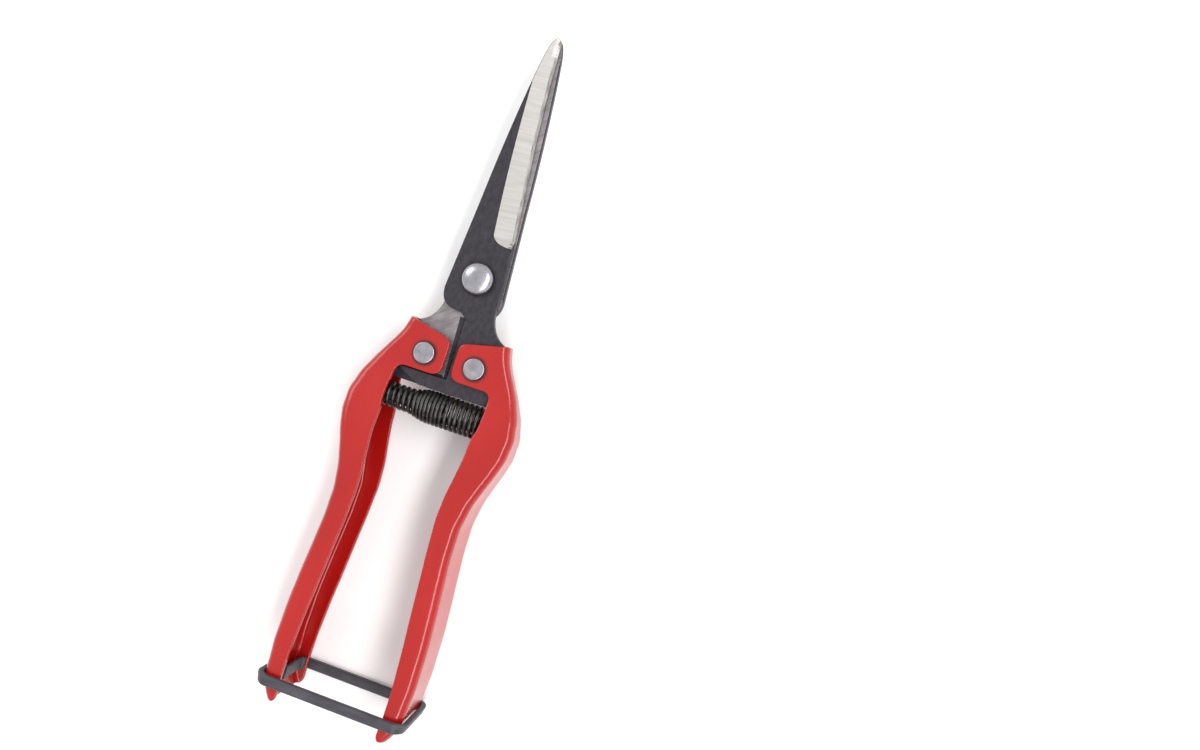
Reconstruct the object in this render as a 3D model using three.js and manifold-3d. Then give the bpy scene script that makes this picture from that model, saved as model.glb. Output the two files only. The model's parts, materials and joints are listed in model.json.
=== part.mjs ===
// Pruning shears with pressed steel handles, a barrel spring and a rubber closing band.
// Millimetres. Working frame: the pivot is the origin, +Y points to the blade tips,
// +X to the right handle, +Z out of the front face. The group is then moved so that the
// origin is the centre of the base of the whole tool lying on its back.
import * as THREE from 'three';
import { mergeVertices } from 'three/addons/utils/BufferGeometryUtils.js';
import Module from 'manifold-3d';

const wasm = await Module();
wasm.setup();

// ---- driving dimensions -------------------------------------------------------------
const GAP = 0.25;               // clearance between touching pieces
const BLADE_T = 2;              // thickness of each blade
const SHEET_T = 1.3;            // thickness of the pressed handle sheet
const TIP_Y = 69.3;
const TIP_R = 1.3;
const HEAD_TOP_IN = -18;        // top edge of the handle heads, beside the middle line
const HEAD_TOP_RISE = 0.24;     // how much the top edge rises for each millimetre outwards
const CHANNEL_TOP = -14.4;      // where the channel starts, before its top is cut at a slant
const HEAD_BOTTOM = -28.2;      // lower edge of the handle heads, above the spring
const TANG_END = -32.1;         // the foot of each tang shows this far below the heads
const END_Y = -123;             // ends of the handles
const GRIP_HALF_DEPTH = 9.5;    // half the depth of the channel along the grips
const BEND_R = 2.4;             // outer radius of the channel's two bends
const HEAD_EDGE_X = 1.3;        // half the slot between the two heads
const TANG_EDGE_X = 0.4;        // inner edge of each tang, beside the middle line
const TANG_X = 12.4;            // outer edge of each tang
const FOOT_X = 15.4;            // how far each tang's foot reaches on its own side
const FOOT_TOP = HEAD_BOTTOM - 0.3;
const EDGE_T = 0.35;            // what the grinding leaves of the blade at its cutting edge
const BEVEL_WIDTH = 5.4;        // mean width of the ground bevel, which sets its slope
const RIVET_X = 7.2;
const RIVET_Y = -23.4;
const RIVET_R = 1.6;
const RIVET_HEAD_R = 2.9;
const RIVET_HEAD_T = 0.7;
const RIVET_WASHER_T = 0.5;
const RIVET_WASHER_R = 3.2;
const SPACER_R = 3.4;           // spacers that fill the room of the other blade in each head
const PIVOT_R = 2.8;
const PIVOT_FIT = 0.06;         // running clearance of the blades on the pivot
const PIVOT_TAIL = 0.6;         // how far the bolt's end stands out of the nut
const PIVOT_HEAD_R = 4.4;
const PIVOT_HEAD_T = 2.3;
const WASHER_T = 0.8;
const WASHER_R = 5;
const NUT_ACROSS_FLATS = 8;
const NUT_T = 3.2;
const SPRING_Y = -37;
const SPRING_END_X = 19.6;      // half the length of the spring
const WIRE_R = 0.5;
const SPRING_TURNS = 30;
const SPRING_NARROW_R = 3;      // mean radius of the coils at the ends
const SPRING_WIDE_R = 4.1;      // mean radius of the coils in the barrel
const SEAT_R = 3.3;
const SEAT_T = 0.9;
const PRONG_R = 1.7;
const PRONG_LENGTH = 7;
const PRONG_TAPER = 0.6;
const BAND_Y = -117.6;
const BAND_WIDTH = 3.9;
const BAND_T = 1.6;
const BAND_FIT = 0.3;           // how far the band stands off the handles it wraps
const BAND_TAIL_WIDTH = 3.6;
const BAND_TAIL_T = 1.2;
const BAND_TAIL_TOP = 4;        // how far the tail reaches up the web, past mid-depth
const BAND_TAIL_LIP = 14.8;     // how far from the middle the tail's lip ends on the back flange
const BAND_TAIL_UP = 2.4;       // upper edge of the tail, above the middle of the band

// Outline of the right handle as [y, x]: outer edge, inner edge and half depth.
const OUTER_EDGE = [[CHANNEL_TOP, 14.3], [-17, 14.9], [-20, 16], [-24, 18.2], [-30, 21.3],
  [-36, 23.2], [-41, 23.6], [-47, 22.6], [-54, 20.3], [-61, 18.6], [-68, 18.1], [-78, 18.6],
  [-90, 19.6], [-103, 20.2], [-112, 20], [-118, 19.2], [-121.5, 17.9], [END_Y, 16.9]];
const INNER_EDGE = [[CHANNEL_TOP, 10.4], [-17, 11], [-26, 13.6], [-38, 13.6], [-41, 13],
  [-46, 12.9], [-52, 12.3], [-60, 11.5], [-68, 11.6], [-78, 12.3], [-90, 13.2], [-103, 14.2],
  [-115, 14.6], [-121, 14.3], [END_Y, 13.6]];
const HALF_DEPTH_HEAD = BLADE_T + GAP / 2 + GAP + SHEET_T;
const HALF_DEPTH = [[CHANNEL_TOP, HALF_DEPTH_HEAD], [-24, HALF_DEPTH_HEAD], [HEAD_BOTTOM, 3.8],
  [-36.5, 5.9], [-44, 7.6], [-52, 8.8], [-60, 9.4], [-67, GRIP_HALF_DEPTH],
  [END_Y, GRIP_HALF_DEPTH]];
const SPACER_T = BLADE_T - GAP;

// ---- finishes -----------------------------------------------------------------------
const redPaint = new THREE.MeshStandardMaterial({ color: 0xc8262a, roughness: 0.3, metalness: 0 });
const blackOxide = new THREE.MeshStandardMaterial({ color: 0x433f46, roughness: 0.45, metalness: 0.7 });
const paleSteel = new THREE.MeshStandardMaterial({ color: 0x9f9899, roughness: 0.4, metalness: 0.9 });
const brightSteel = new THREE.MeshStandardMaterial({ color: 0xc9c7c6, roughness: 0.25, metalness: 1 });
const springSteel = new THREE.MeshStandardMaterial({ color: 0x26262a, roughness: 0.45, metalness: 0.8 });
const blackRubber = new THREE.MeshStandardMaterial({ color: 0x3a3c41, roughness: 0.6, metalness: 0 });

// ---- geometry helpers ---------------------------------------------------------------
function toSolid(geometry) {
  const bare = geometry.index ? geometry.clone() : geometry;
  bare.deleteAttribute('normal');
  bare.deleteAttribute('uv');
  const merged = mergeVertices(bare, 1e-4);
  return new wasm.Manifold(new wasm.Mesh({
    numProp: 3,
    vertProperties: new Float32Array(merged.attributes.position.array),
    triVerts: new Uint32Array(merged.index.array),
  }));
}

function toGeometry(solid) {
  const mesh = solid.getMesh();
  const geometry = new THREE.BufferGeometry();
  geometry.setAttribute('position', new THREE.BufferAttribute(mesh.vertProperties, 3));
  geometry.setIndex(new THREE.BufferAttribute(mesh.triVerts, 1));
  return geometry;
}

// Smooth value through a list of [position, value] pairs with falling positions.
function along(pairs, position) {
  const last = pairs.length - 1;
  let index = 0;
  while (index < last - 1 && position < pairs[index + 1][0]) {
    index += 1;
  }
  const slope = (i) => {
    const before = pairs[Math.max(i - 1, 0)];
    const after = pairs[Math.min(i + 1, last)];
    return (after[1] - before[1]) / (after[0] - before[0]);
  };
  const [p0, v0] = pairs[index];
  const [p1, v1] = pairs[index + 1];
  const span = p1 - p0;
  const s = THREE.MathUtils.clamp((position - p0) / span, 0, 1);
  const a = v0 + slope(index) * span * s;
  const b = v1 - slope(index + 1) * span * (1 - s);
  const ease = s * s * (3 - 2 * s);
  return a * (1 - ease) + b * ease;
}

// A disc about Z from one height to another, in place.
function disc(radius, x, y, low, high, sides = 32) {
  return new THREE.CylinderGeometry(radius, radius, high - low, sides)
    .rotateX(Math.PI / 2)
    .translate(x, y, (low + high) / 2);
}

function plate(shape, low, high, steps = 6) {
  return new THREE.ExtrudeGeometry(shape, { depth: high - low, bevelEnabled: false, curveSegments: steps })
    .translate(0, 0, low);
}

// Joins equal rings of points, from high Y to low Y, each anticlockwise in X and Z, into one
// closed body with flat ends.
function loft(rings) {
  const size = rings[0].length;
  const positions = rings.flat().flatMap((point) => [point.x, point.y, point.z]);
  const indices = [];
  for (let ring = 0; ring < rings.length - 1; ring += 1) {
    for (let i = 0; i < size; i += 1) {
      const a = ring * size + i;
      const b = ring * size + (i + 1) % size;
      indices.push(a, b, a + size, b, b + size, a + size);
    }
  }
  const section = rings[0].map((point) => new THREE.Vector2(point.x, point.z));
  const lastStart = (rings.length - 1) * size;
  for (const [a, b, c] of THREE.ShapeUtils.triangulateShape(section, [])) {
    indices.push(c, b, a);
    indices.push(lastStart + a, lastStart + b, lastStart + c);
  }
  const geometry = new THREE.BufferGeometry();
  geometry.setAttribute('position', new THREE.BufferAttribute(new Float32Array(positions), 3));
  geometry.setIndex(indices);
  return geometry;
}

// ---- blades -------------------------------------------------------------------------
// Outline of the front blade: cutting edge and tang on the right, spine on the left. The tang
// ends in a foot that runs across under both heads. Under the other head its lower edge rises,
// so that it clears the spring when the tool is open. The rear blade is the same, turned over.
function bladeShape() {
  const shape = new THREE.Shape();
  shape.moveTo(TANG_EDGE_X, -11.6);
  shape.lineTo(-1.6, -9.9);
  shape.lineTo(-4.4, -9.6);
  shape.quadraticCurveTo(-8, -9, -8.2, -4.5);
  shape.lineTo(-6.3, 21);
  shape.quadraticCurveTo(-5.05, 42, -2.4, 63);
  shape.quadraticCurveTo(-1.6, TIP_Y, 0, TIP_Y);
  shape.quadraticCurveTo(TIP_R, TIP_Y, TIP_R - 0.2, TIP_Y - 3);
  shape.quadraticCurveTo(1.9, 51, 3.1, 39);
  shape.lineTo(6.1, 13);
  shape.lineTo(7.2, 1);
  shape.lineTo(7.4, -6.8);
  shape.quadraticCurveTo(7.9, -13, TANG_X, -14.9);
  shape.lineTo(TANG_X, -27);
  shape.lineTo(FOOT_X, FOOT_TOP);
  shape.lineTo(FOOT_X, TANG_END + 1);
  shape.lineTo(FOOT_X - 1, TANG_END);
  shape.lineTo(-6.8, TANG_END);
  shape.lineTo(-13.6, FOOT_TOP - 0.5);
  shape.lineTo(-13.6, FOOT_TOP);
  shape.lineTo(TANG_EDGE_X, FOOT_TOP);
  shape.closePath();
  return shape;
}

// Wedge that is ground away along the cutting edge, leaving a thin edge at the back.
function bevelWedge() {
  const top = GAP / 2 + BLADE_T;
  const low = GAP / 2 + EDGE_T;
  const over = 6;               // how far the wedge reaches past the blade
  const slope = (top - low) / BEVEL_WIDTH;
  const section = (x, y, width) => [
    new THREE.Vector3(x - width, y, top),
    new THREE.Vector3(x, y, low),
    new THREE.Vector3(x + over, y, low - slope * over),
    new THREE.Vector3(x + over, y, top + over),
    new THREE.Vector3(x - width, y, top + over),
  ];
  return loft([section(1.1, TIP_Y + 2, 4), section(1.9, 51, 4.6), section(3.1, 39, 5.2),
    section(6, 13.5, 6), section(6.1, 12.5, 0.2)]);
}

function bladeGeometry(pivotHole) {
  let solid = toSolid(plate(bladeShape(), GAP / 2, GAP / 2 + BLADE_T));
  solid = solid.subtract(toSolid(bevelWedge()));
  solid = solid.subtract(toSolid(disc(pivotHole, 0, 0, -1, BLADE_T + 1)));
  solid = solid.subtract(toSolid(disc(RIVET_R + GAP, RIVET_X, RIVET_Y, -1, BLADE_T + 1)));
  return toGeometry(solid);
}

// ---- handles ------------------------------------------------------------------------
// Half of a channel section at one height, from the inner lip to the middle of the web.
function channelSection(y) {
  const outer = along(OUTER_EDGE, y);
  const inner = along(INNER_EDGE, y);
  const depth = along(HALF_DEPTH, y);
  const bend = (radius, angle) => new THREE.Vector3(
    outer - BEND_R + radius * Math.sin(angle), y, depth - BEND_R + radius * Math.cos(angle));
  const steps = 4;
  const angles = Array.from({ length: steps + 1 }, (_, i) => i / steps * Math.PI / 2);
  const outside = [new THREE.Vector3(inner, y, depth), ...angles.map((angle) => bend(BEND_R, angle))];
  const inside = [...angles.map((angle) => bend(BEND_R - SHEET_T, angle)).reverse(),
    new THREE.Vector3(inner, y, depth - SHEET_T)];
  const mirror = (points) => points.map((p) => new THREE.Vector3(p.x, p.y, -p.z)).reverse();
  return [...outside, ...mirror(outside), ...mirror(inside), ...inside].reverse();
}

// Height of a head's slanted top edge.
function headTop(x) {
  return HEAD_TOP_IN + HEAD_TOP_RISE * (x - HEAD_EDGE_X);
}

// Outline of the flat part of a head. Its outer side lies inside the channel's flange.
function headShape() {
  const shape = new THREE.Shape();
  const cornerTop = 2;
  const cornerBottom = 3.2;
  const overlapX = 13.65;
  const flangeX = 15;
  shape.moveTo(HEAD_EDGE_X + cornerTop, headTop(HEAD_EDGE_X + cornerTop));
  shape.quadraticCurveTo(HEAD_EDGE_X, HEAD_TOP_IN, HEAD_EDGE_X, HEAD_TOP_IN - cornerTop);
  shape.lineTo(HEAD_EDGE_X, HEAD_BOTTOM + cornerBottom);
  shape.quadraticCurveTo(HEAD_EDGE_X, HEAD_BOTTOM, HEAD_EDGE_X + cornerBottom, HEAD_BOTTOM);
  shape.lineTo(11.4, HEAD_BOTTOM);
  shape.quadraticCurveTo(13.6, HEAD_BOTTOM, 13.7, HEAD_BOTTOM - 2.4);
  shape.lineTo(flangeX, HEAD_BOTTOM - 2.4);
  shape.lineTo(flangeX, -20.5);
  shape.lineTo(overlapX - 0.6, headTop(overlapX - 0.6) - 0.1);
  shape.lineTo(12, headTop(12));
  shape.closePath();
  return shape;
}

// All that lies above the slanted top edge, to be cut away.
function aboveHead() {
  const shape = new THREE.Shape();
  const reach = 30;
  shape.moveTo(0, headTop(0));
  shape.lineTo(reach, headTop(reach));
  shape.lineTo(0, reach);
  shape.closePath();
  return plate(shape, -GRIP_HALF_DEPTH, GRIP_HALF_DEPTH);
}

function handleGeometry() {
  const rows = [];
  const shoulderEnd = -66;      // the shoulder curves more than the grip, so its rows are closer
  const gripEnd = -116;
  for (let y = CHANNEL_TOP; y > shoulderEnd; y -= 1.75) {
    rows.push(y);
  }
  for (let y = shoulderEnd - 1; y > gripEnd; y -= 4) {
    rows.push(y);
  }
  rows.push(-117, -119, -120.5, -121.8, END_Y);
  let solid = toSolid(loft(rows.map(channelSection)));
  for (const side of [-1, 1]) {
    const faces = [side * HALF_DEPTH_HEAD, side * (HALF_DEPTH_HEAD - SHEET_T)];
    solid = solid.add(toSolid(plate(headShape(), Math.min(...faces), Math.max(...faces))));
  }
  solid = solid.subtract(toSolid(aboveHead()));
  const through = disc(RIVET_R + GAP, RIVET_X, RIVET_Y, -HALF_DEPTH_HEAD - 1, HALF_DEPTH_HEAD + 1);
  return toGeometry(solid.subtract(toSolid(through)));
}

// ---- fasteners ----------------------------------------------------------------------
function domedHeadProfile(shankRadius, headRadius, headThickness, low, seat) {
  const crown = 5;
  const rim = 0.4;
  const points = [new THREE.Vector2(0, low), new THREE.Vector2(shankRadius, low),
    new THREE.Vector2(shankRadius, seat), new THREE.Vector2(headRadius, seat)];
  for (let i = 0; i <= crown; i += 1) {
    const angle = i / crown * Math.PI / 2;
    points.push(new THREE.Vector2(i === crown ? 0 : headRadius * Math.cos(angle),
      seat + rim + (headThickness - rim) * Math.sin(angle)));
  }
  return points;
}

function pivotBoltGeometry() {
  const low = -(GAP / 2 + BLADE_T + GAP + WASHER_T + GAP + NUT_T + PIVOT_TAIL);
  const seat = GAP / 2 + BLADE_T + GAP;
  const profile = domedHeadProfile(PIVOT_R, PIVOT_HEAD_R, PIVOT_HEAD_T, low, seat);
  return new THREE.LatheGeometry(profile, 32).rotateX(Math.PI / 2);
}

// A flat-headed rivet through the whole head of a handle. The factory head is on one face
// and the tail, set over a washer, on the other.
function rivetGeometry(faceSide) {
  const chamfer = 0.3;
  const headPoints = (seat) => [[0, seat + RIVET_HEAD_T], [RIVET_HEAD_R - chamfer, seat + RIVET_HEAD_T],
    [RIVET_HEAD_R, seat + RIVET_HEAD_T - chamfer], [RIVET_HEAD_R, seat], [RIVET_R, seat]];
  const head = headPoints(HALF_DEPTH_HEAD + GAP);
  const tail = headPoints(HALF_DEPTH_HEAD + 2 * GAP + RIVET_WASHER_T)
    .map(([r, z]) => [Math.min(r, RIVET_HEAD_R - 0.5), -z]);
  const profile = [...head, ...tail.reverse()].reverse().map(([r, z]) => new THREE.Vector2(r, z));
  return new THREE.LatheGeometry(profile, 32)
    .rotateX(faceSide * Math.PI / 2)
    .translate(RIVET_X, RIVET_Y, 0);
}

function ringGeometry(inner, outer, x, y, low, high) {
  const solid = toSolid(disc(outer, x, y, low, high));
  return toGeometry(solid.subtract(toSolid(disc(inner, x, y, low - 1, high + 1))));
}

function nutGeometry(low, high) {
  const cornerRadius = NUT_ACROSS_FLATS / 2 / Math.cos(Math.PI / 6);
  const solid = toSolid(disc(cornerRadius, 0, 0, low, high, 6));
  return toGeometry(solid.subtract(toSolid(disc(PIVOT_R + GAP, 0, 0, low - 1, high + 1))));
}

// ---- spring and its seats -----------------------------------------------------------
// Mean coil radius along the spring: narrow on the left, a barrel from the middle on.
function coilRadius(x) {
  const flare = THREE.MathUtils.smoothstep(x, -8, -2);
  const taper = 1 - THREE.MathUtils.smoothstep(x, 12, 17);
  return SPRING_NARROW_R + (SPRING_WIDE_R - SPRING_NARROW_R) * flare * taper;
}

function springCurve() {
  const perTurn = 10;
  const count = SPRING_TURNS * perTurn;
  const reach = SPRING_END_X - WIRE_R;
  const points = [];
  for (let i = 0; i <= count; i += 1) {
    const x = -reach + 2 * reach * i / count;
    const angle = i / perTurn * 2 * Math.PI;
    const radius = coilRadius(x);
    points.push(new THREE.Vector3(x, SPRING_Y + radius * Math.cos(angle), radius * Math.sin(angle)));
  }
  return new THREE.CatmullRomCurve3(points);
}

function springGeometry() {
  const wire = new THREE.Shape();
  const sides = 5;
  for (let i = 0; i < sides; i += 1) {
    const angle = i / sides * 2 * Math.PI;
    wire[i === 0 ? 'moveTo' : 'lineTo'](WIRE_R * Math.cos(angle), WIRE_R * Math.sin(angle));
  }
  wire.closePath();
  return new THREE.ExtrudeGeometry(wire, {
    steps: SPRING_TURNS * 10, bevelEnabled: false, extrudePath: springCurve(), curveSegments: 1,
  });
}

// A disc against the web with a prong that the end of the spring is pushed over.
function springSeatGeometry() {
  const outerFace = SPRING_END_X + GAP + SEAT_T;
  const profile = [[0, 0], [SEAT_R, 0], [SEAT_R, SEAT_T], [PRONG_R, SEAT_T],
    [PRONG_R, PRONG_LENGTH - PRONG_TAPER], [PRONG_R - PRONG_TAPER, PRONG_LENGTH], [0, PRONG_LENGTH]]
    .map(([r, z]) => new THREE.Vector2(r, z));
  return new THREE.LatheGeometry(profile, 20).rotateZ(Math.PI / 2).translate(outerFace, SPRING_Y, 0);
}

// ---- closing band -------------------------------------------------------------------
function roundedRectangle(halfX, halfZ, radius) {
  const path = new THREE.Shape();
  path.moveTo(halfX - radius, -halfZ);
  path.absarc(halfX - radius, -halfZ + radius, radius, -Math.PI / 2, 0);
  path.absarc(halfX - radius, halfZ - radius, radius, 0, Math.PI / 2);
  path.absarc(-halfX + radius, halfZ - radius, radius, Math.PI / 2, Math.PI);
  path.absarc(-halfX + radius, -halfZ + radius, radius, Math.PI, 1.5 * Math.PI);
  path.closePath();
  return path;
}

function bandGeometry() {
  const widest = along(OUTER_EDGE, BAND_Y + BAND_WIDTH / 2);
  const innerX = widest + BAND_FIT;
  const innerZ = GRIP_HALF_DEPTH + BAND_FIT;
  const shape = roundedRectangle(innerX + BAND_T, innerZ + BAND_T, BEND_R + BAND_T);
  shape.holes.push(roundedRectangle(innerX, innerZ, BEND_R));
  return new THREE.ExtrudeGeometry(shape, { depth: BAND_WIDTH, bevelEnabled: false, curveSegments: 6 })
    .rotateX(Math.PI / 2)
    .translate(0, BAND_Y + BAND_WIDTH / 2, 0);
}

// The tail of the band, tucked into the left channel along its web and its back flange.
function bandTailGeometry() {
  const low = -GRIP_HALF_DEPTH + SHEET_T + BAND_FIT;
  const stand = 1.2;            // how far the stiff tail stands off the web
  const web = along(OUTER_EDGE, BAND_Y) - SHEET_T - stand;
  const corner = 1.2;
  const shape = new THREE.Shape();
  shape.moveTo(-BAND_TAIL_LIP, low);
  shape.lineTo(-BAND_TAIL_LIP, low + BAND_TAIL_T);
  shape.lineTo(-web + BAND_TAIL_T, low + BAND_TAIL_T);
  shape.lineTo(-web + BAND_TAIL_T, BAND_TAIL_TOP);
  shape.lineTo(-web, BAND_TAIL_TOP);
  shape.lineTo(-web, low + corner);
  shape.lineTo(-web + corner, low);
  shape.closePath();
  return new THREE.ExtrudeGeometry(shape, { depth: BAND_TAIL_WIDTH, bevelEnabled: false })
    .rotateX(Math.PI / 2)
    .translate(0, BAND_Y + BAND_TAIL_UP, 0);
}

// ---- assembly -----------------------------------------------------------------------
const tool = new THREE.Group();

function place(name, geometry, material, parent) {
  const mesh = new THREE.Mesh(geometry, material);
  mesh.name = name;
  parent.add(mesh);
}

const rightHalf = new THREE.Group();
const leftHalf = new THREE.Group();
leftHalf.rotation.y = Math.PI;   // the left half is the right half turned over
const fixed = new THREE.Group();
tool.add(rightHalf, leftHalf, fixed);

const pivotHole = PIVOT_R + PIVOT_FIT;
const halves = [
  { side: 'right', blade: 'front_blade', group: rightHalf, steel: blackOxide, faceSide: 1 },
  { side: 'left', blade: 'rear_blade', group: leftHalf, steel: paleSteel, faceSide: -1 },
];
const rivetWasherLow = HALF_DEPTH_HEAD + GAP;
for (const { side, blade, group, steel, faceSide } of halves) {
  place(blade, bladeGeometry(pivotHole), steel, group);
  place(`${side}_handle`, handleGeometry(), redPaint, group);
  place(`${side}_rivet`, rivetGeometry(faceSide), brightSteel, group);
  const washerFaces = [-faceSide * rivetWasherLow, -faceSide * (rivetWasherLow + RIVET_WASHER_T)];
  place(`${side}_rivet_washer`, ringGeometry(RIVET_R + GAP, RIVET_WASHER_R, RIVET_X, RIVET_Y,
    Math.min(...washerFaces), Math.max(...washerFaces)), brightSteel, group);
  const spacerTop = -GAP;
  place(`${side}_tang_spacer`, ringGeometry(RIVET_R + GAP, SPACER_R, RIVET_X, RIVET_Y,
    spacerTop - SPACER_T, spacerTop), paleSteel, group);
  place(`${side}_spring_seat`, springSeatGeometry(), springSteel, group);
}

const washerTop = -(GAP / 2 + BLADE_T + GAP);
const nutTop = washerTop - WASHER_T - GAP;
place('pivot_bolt', pivotBoltGeometry(), brightSteel, fixed);
place('pivot_washer', ringGeometry(PIVOT_R + GAP, WASHER_R, 0, 0, washerTop - WASHER_T, washerTop),
  brightSteel, fixed);
place('pivot_nut', nutGeometry(nutTop - NUT_T, nutTop), brightSteel, fixed);
place('coil_spring', springGeometry(), springSteel, fixed);
place('closing_band', bandGeometry(), blackRubber, fixed);
place('band_tail', bandTailGeometry(), blackRubber, fixed);

const box = new THREE.Box3().setFromObject(tool, true);
tool.position.set(-(box.min.x + box.max.x) / 2, -(box.min.y + box.max.y) / 2, -box.min.z);

export default tool;
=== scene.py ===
"""Pruning shears: the finished looks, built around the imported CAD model.

Shapes are written in millimetres in the tool's own frame: the pivot is the origin, +Y runs to
the blade tips, +X to the right handle and +Z out of the front face. row() turns that into the
row frame in metres. The left half of the tool is the right half turned over.
"""
import json
import math
import bisect

import bpy
import numpy as np
from mathutils import Matrix, Vector
from mathutils.geometry import delaunay_2d_cdt


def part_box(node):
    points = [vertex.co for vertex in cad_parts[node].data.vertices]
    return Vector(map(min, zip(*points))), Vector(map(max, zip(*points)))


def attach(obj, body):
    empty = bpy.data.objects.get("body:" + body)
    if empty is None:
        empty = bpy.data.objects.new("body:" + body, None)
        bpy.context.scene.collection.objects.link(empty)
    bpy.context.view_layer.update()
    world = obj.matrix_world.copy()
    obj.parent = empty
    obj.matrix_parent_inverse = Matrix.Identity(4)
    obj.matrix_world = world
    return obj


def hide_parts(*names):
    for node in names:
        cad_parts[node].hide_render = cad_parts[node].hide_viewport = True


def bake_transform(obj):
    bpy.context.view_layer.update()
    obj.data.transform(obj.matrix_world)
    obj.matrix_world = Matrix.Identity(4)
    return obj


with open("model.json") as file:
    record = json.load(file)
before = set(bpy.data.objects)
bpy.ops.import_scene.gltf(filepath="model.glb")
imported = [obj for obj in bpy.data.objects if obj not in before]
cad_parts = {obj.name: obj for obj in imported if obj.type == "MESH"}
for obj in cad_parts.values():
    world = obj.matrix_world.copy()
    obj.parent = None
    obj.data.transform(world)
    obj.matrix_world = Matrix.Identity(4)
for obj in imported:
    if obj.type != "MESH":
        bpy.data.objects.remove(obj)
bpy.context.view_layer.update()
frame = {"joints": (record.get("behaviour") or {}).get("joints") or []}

MM = 0.001
PIVOT = Vector(frame["joints"][0]["pos_m"]) / MM

# ---- driving dimensions, in millimetres ------------------------------------------------------
GAP = 0.25                      # clearance between neighbouring pieces
BLADE_T = 2.0
SHEET_T = 1.3                   # pressed sheet of the handles
TIP_Y = 69.3
POINT_Y = TIP_Y - 3             # where the cutting edge turns into the round tip
SPINE_END_Y = 63.0              # and where the spine does
CHANNEL_TOP = -14.4
HEAD_TOP_IN = -18.0             # top edge of the heads, beside the middle line
HEAD_TOP_RISE = 0.24            # rise of that edge for each millimetre outwards
HEAD_BOTTOM = -28.2
TANG_END = -32.1
END_Y = -123.0
BEND_R = 2.4                    # outer radius of the channels' bends
GRIP_HALF_DEPTH = 9.5
HEAD_HALF_DEPTH = BLADE_T + GAP / 2 + GAP + SHEET_T
HEAD_EDGE_X = 1.3               # half the slot between the heads
TANG_EDGE_X = 0.4
TANG_X = 12.4                   # outer edge of each tang
FOOT_X = 15.4                   # how far its foot reaches on its own side
FAR_FOOT_X = -13.6              # and under the other head
FOOT_TOP = HEAD_BOTTOM - 0.3
RIVET_X = 7.2
RIVET_Y = -23.4
RIVET_R = 1.6
HOLE_R = RIVET_R + GAP
HOLE_POINTS = 24
PIVOT_R = 2.8
PIVOT_FIT = 0.06
WASHER_R = 5.0
WASHER_T = 0.8
NUT_T = 3.2
SPRING_Y = -37.0
SPRING_END_X = 19.6             # half the length of the spring
WIRE_R = 0.5
VISIBLE_WIRE_R = 0.54
BAND_Y = -117.6
BAND_WIDTH = 3.9
VISIBLE_BAND_WIDTH = 2.8
BAND_T = 1.6
BAND_FIT = 0.3                  # how far the band stands off the handles

# Right handle as (y, value) pairs: outer edge, inner lip and half depth of the channel.
OUTER_EDGE = [(CHANNEL_TOP, 14.3), (-17, 14.9), (-20, 16), (-24, 18.2), (-30, 21.3), (-36, 23.2),
              (-41, 23.6), (-47, 22.6), (-54, 20.3), (-61, 18.6), (-68, 18.1), (-78, 18.6),
              (-90, 19.6), (-103, 20.2), (-112, 20), (-118, 19.2), (-121.5, 17.9), (END_Y, 16.9)]
INNER_LIP = [(-31, 13.6), (-38, 13.6), (-41, 13.0), (-46, 12.9), (-52, 12.3), (-60, 11.5),
             (-68, 11.6), (-78, 12.3), (-90, 13.2), (-103, 14.2), (-115, 14.6), (-121, 14.3)]
HALF_DEPTH = [(CHANNEL_TOP, HEAD_HALF_DEPTH), (-24, HEAD_HALF_DEPTH), (HEAD_BOTTOM, 3.8),
              (-36.5, 5.9), (-44, 7.6), (-52, 8.8), (-60, 9.4), (-67, GRIP_HALF_DEPTH),
              (END_Y, GRIP_HALF_DEPTH)]


# ---- small helpers ---------------------------------------------------------------------------
def row(point):
    """A point of the tool's own frame, in millimetres, as a point of the row frame, in metres."""
    return (Vector(point) + PIVOT) * MM


def along(pairs, y):
    """Smooth value at y through (y, value) pairs whose y falls, as the CAD model has it."""
    ys = [-pair[0] for pair in pairs]
    last = len(pairs) - 1
    index = min(max(bisect.bisect_left(ys, -y) - 1, 0), last - 1)

    def slope(i):
        (y0, v0), (y1, v1) = pairs[max(i - 1, 0)], pairs[min(i + 1, last)]
        return (v1 - v0) / (y1 - y0)

    (y0, v0), (y1, v1) = pairs[index], pairs[index + 1]
    s = min(max((y - y0) / (y1 - y0), 0), 1)
    from_start = v0 + slope(index) * (y1 - y0) * s
    from_end = v1 - slope(index + 1) * (y1 - y0) * (1 - s)
    ease = s * s * (3 - 2 * s)
    return from_start * (1 - ease) + from_end * ease


def smoothstep(x, low, high):
    t = min(max((x - low) / (high - low), 0), 1)
    return t * t * (3 - 2 * t)


def curve_points(start, control, end, count):
    """Points along a quadratic curve, without its start."""
    points = []
    for i in range(1, count + 1):
        t = i / count
        points.append(tuple((1 - t) ** 2 * a + 2 * t * (1 - t) * b + t * t * c
                            for a, b, c in zip(start, control, end)))
    return points


def line_points(start, end, step):
    """Points along a straight line, without its start, about step apart."""
    count = max(1, round(math.dist(start, end) / step))
    return [tuple(a + (b - a) * i / count for a, b in zip(start, end)) for i in range(1, count + 1)]


def circle_points(x, y, radius, count):
    return [(x + radius * math.cos(2 * math.pi * i / count),
             y + radius * math.sin(2 * math.pi * i / count)) for i in range(count)]


def signed_area(ring):
    return sum(x0 * y1 - x1 * y0 for (x0, y0), (x1, y1) in zip(ring, ring[1:] + ring[:1])) / 2


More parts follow.
